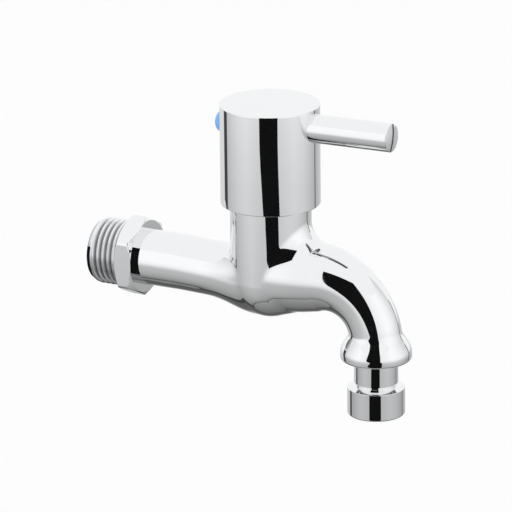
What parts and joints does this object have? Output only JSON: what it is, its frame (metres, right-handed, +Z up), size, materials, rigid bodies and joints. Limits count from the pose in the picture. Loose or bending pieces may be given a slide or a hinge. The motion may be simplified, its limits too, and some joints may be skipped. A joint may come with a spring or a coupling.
{
  "type": "washing machine tap",
  "caption": "Chromed wall tap for a washing machine: threaded inlet with a hexagon, quarter-turn valve under a round lever handle, curved spout and a quick-connect hose nozzle.",
  "frame": {"origin": "centre of the hexagon's shoulder on the inlet's axis, where the inlet thread ends", "axes": "+X along the inlet, from the wall towards the outlet; +Z up, along the valve's axis; Y = 0 is the plane through the inlet, valve and outlet axes"},
  "size_m": [0.1078, 0.031, 0.0954],
  "materials": {
    "body_chrome": "polished chrome plate on a brass casting",
    "nozzle_chrome": "polished chrome plate on turned brass",
    "handle_chrome": "polished chrome plate on a brass cap",
    "lever_chrome": "polished chrome plate on brass bar",
    "bare_brass": "turned, unplated",
    "steel": "plain steel",
    "spring_steel": "blackened spring steel",
    "rubber": "moulded rubber",
    "ceramic": "lapped white alumina ceramic",
    "white_plastic": "moulded acetal",
    "blue_plastic": "glossy moulded plastic"
  },
  "bodies": {
    "body": {"tap_body": "body_chrome", "outlet_nozzle": "nozzle_chrome", "nozzle_gasket": "rubber", "valve_bonnet": "bare_brass", "bonnet_gasket": "rubber", "seat_gasket": "rubber", "gasket_support_ring": "white_plastic", "fixed_disc": "ceramic"},
    "handle": {"handle_cap": "handle_chrome", "spline_insert": "bare_brass", "lever_bar": "lever_chrome", "lever_stud": "steel", "set_screw": "steel", "index_plug": "blue_plastic", "spindle": "bare_brass", "moving_disc": "ceramic", "thrust_washer": "white_plastic", "lower_o_ring": "rubber", "upper_o_ring": "rubber", "retaining_clip": "spring_steel"}
  },
  "joints": [
    {"name": "handle_turn", "type": "hinge", "parent": "body", "child": "handle", "pos_m": [0.0496, 0, 0], "axis": [0, 0, 1], "range_deg": [0, 90]}
  ]
}
